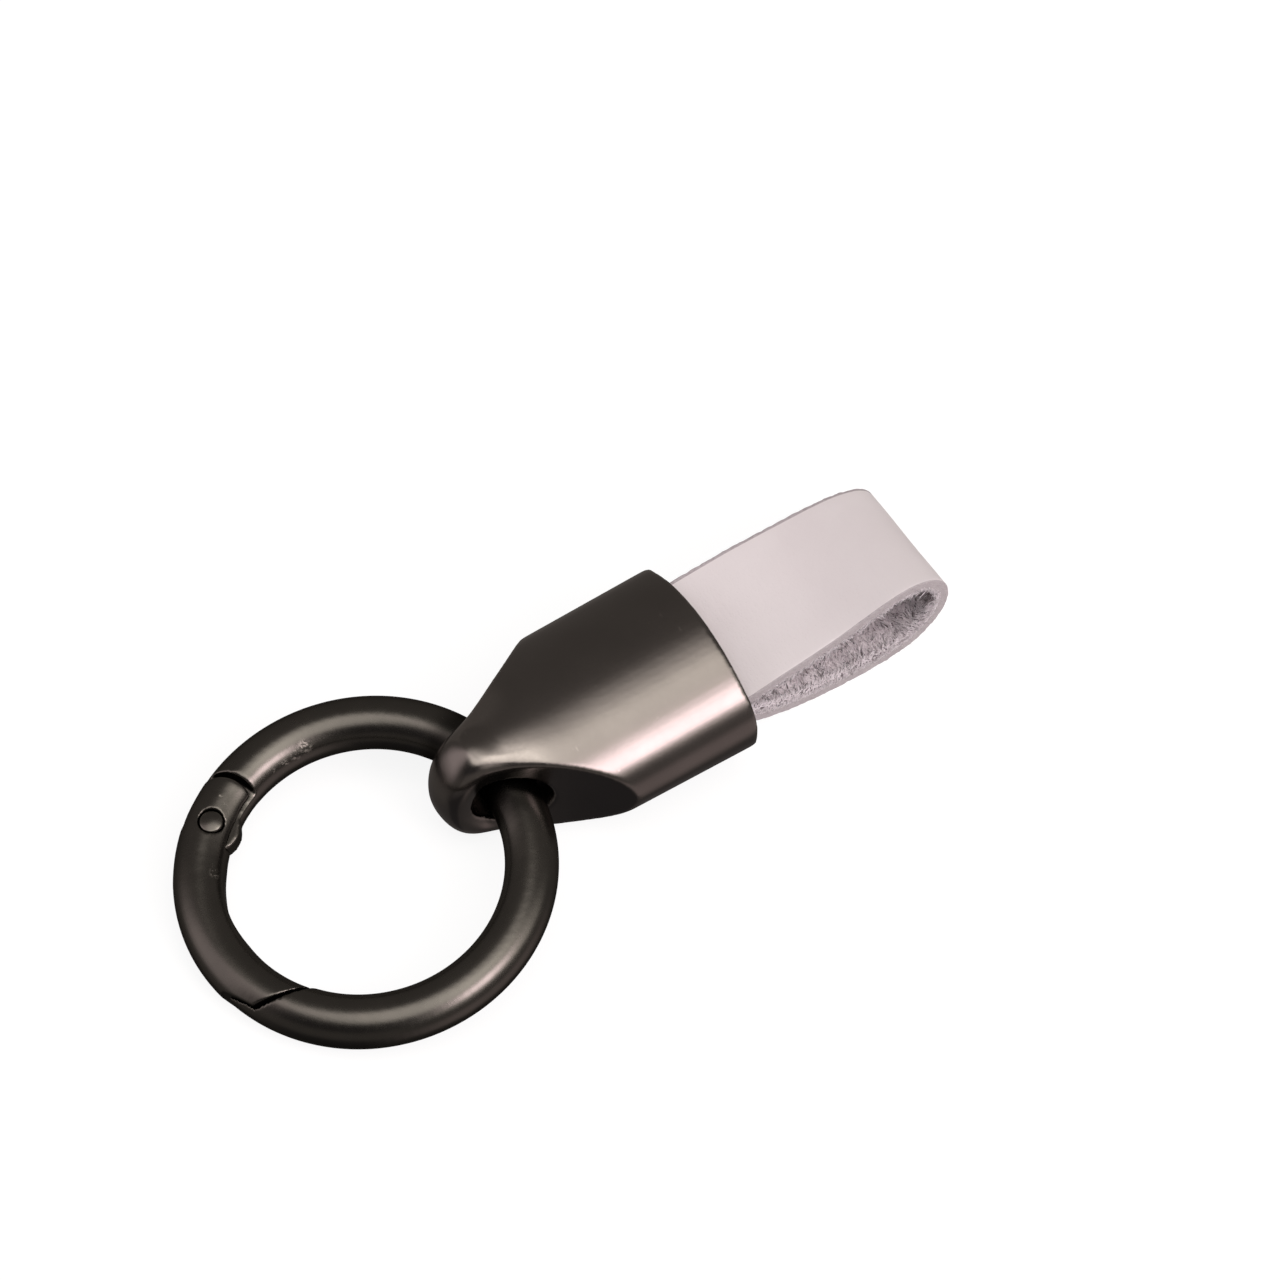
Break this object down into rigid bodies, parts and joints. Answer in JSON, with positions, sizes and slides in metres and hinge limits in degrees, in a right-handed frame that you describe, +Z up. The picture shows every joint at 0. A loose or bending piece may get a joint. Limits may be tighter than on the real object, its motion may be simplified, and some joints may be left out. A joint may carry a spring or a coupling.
{
  "type": "keychain clip",
  "caption": "Keychain clip with a hinged spring-gate ring through the eye of an oval metal end cap, and a short folded leather loop.",
  "frame": {"origin": "on the surface the clip lies on, under the middle of the whole clip's length and width", "axes": "+X from the ring along the clip to the end of the leather loop, +Y across it, +Z up"},
  "size_m": [0.0778, 0.0346, 0.0142],
  "materials": {
    "ring_metal": "polished gunmetal plating with a soft sheen",
    "cap_metal": "satin gunmetal plating on a die casting",
    "strap_leather": "smooth pale pinkish grey grain side, fibrous suede inside, raw cut edges",
    "spring_steel": "bright drawn steel",
    "screw_steel": "dark plated screw"
  },
  "bodies": {
    "cap": {"end_cap": "cap_metal", "leather_strap": "strap_leather", "strap_screw": "screw_steel"},
    "ring": {"ring_body": "ring_metal", "gate_pin": "ring_metal"},
    "gate": {"gate": "ring_metal", "gate_spring": "spring_steel"},
    "plunger": {"spring_plunger": "spring_steel"}
  },
  "joints": [
    {"name": "ring_swing", "type": "hinge", "parent": "cap", "child": "ring", "pos_m": [-0.00724, 0.00205, 0.00639], "axis": [0, 1, 0], "range_deg": [-80, 88]},
    {"name": "gate_hinge", "type": "hinge", "parent": "ring", "child": "gate", "pos_m": [-0.03089, 0.01118, 0.00341], "axis": [-0.1308, -0.0184, 0.9912], "range_deg": [0, 30], "stiffness_Nm_per_rad": 0.04, "springref_deg": -11.46, "deforming": ["gate_spring"]},
    {"name": "plunger_slide", "type": "slide", "parent": "gate", "child": "plunger", "axis": [-0.5818, -0.8082, -0.0918], "range_m": [0, 0.0005]}
  ],
  "couplings": [
    {"joint": "plunger_slide", "follows": "gate_hinge", "m_per_rad": 0.0009}
  ]
}
